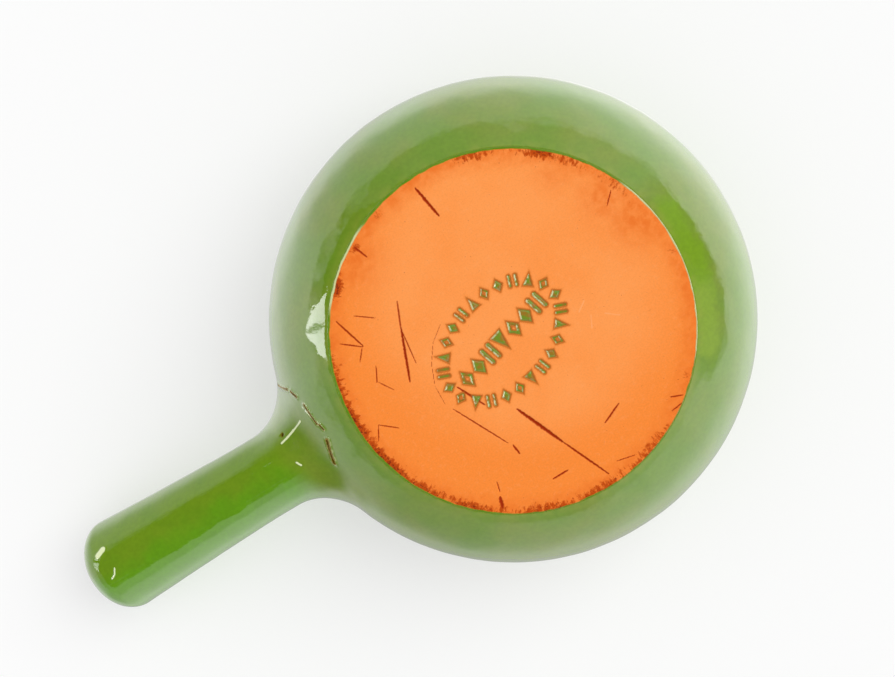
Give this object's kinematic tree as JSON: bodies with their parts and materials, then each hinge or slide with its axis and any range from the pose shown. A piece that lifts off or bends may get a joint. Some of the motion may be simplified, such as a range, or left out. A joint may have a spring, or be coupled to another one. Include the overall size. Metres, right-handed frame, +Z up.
{
  "type": "ceramic pot with handle",
  "caption": "Squat round terracotta saucepan with a straight hollow handle, glazed green inside and out except for its flat bare base.",
  "frame": {"origin": "centre of the flat unglazed base, on the plane that the pot stands on", "axes": "+Z up to the mouth, +X along the handle as seen from above"},
  "size_m": [0.3123, 0.2, 0.084],
  "materials": {
    "terracotta": "matt bare clay",
    "handle_clay": "matt bare clay",
    "slip": "matt fired slip",
    "green_glaze": "glossy, slightly wavy",
    "inside_glaze": "glossy, slightly wavy"
  },
  "bodies": {
    "root": {"pot_body": "terracotta", "handle": "handle_clay", "luting_slip": "slip", "glaze_outside": "green_glaze", "glaze_inside": "inside_glaze"}
  },
  "joints": []
}
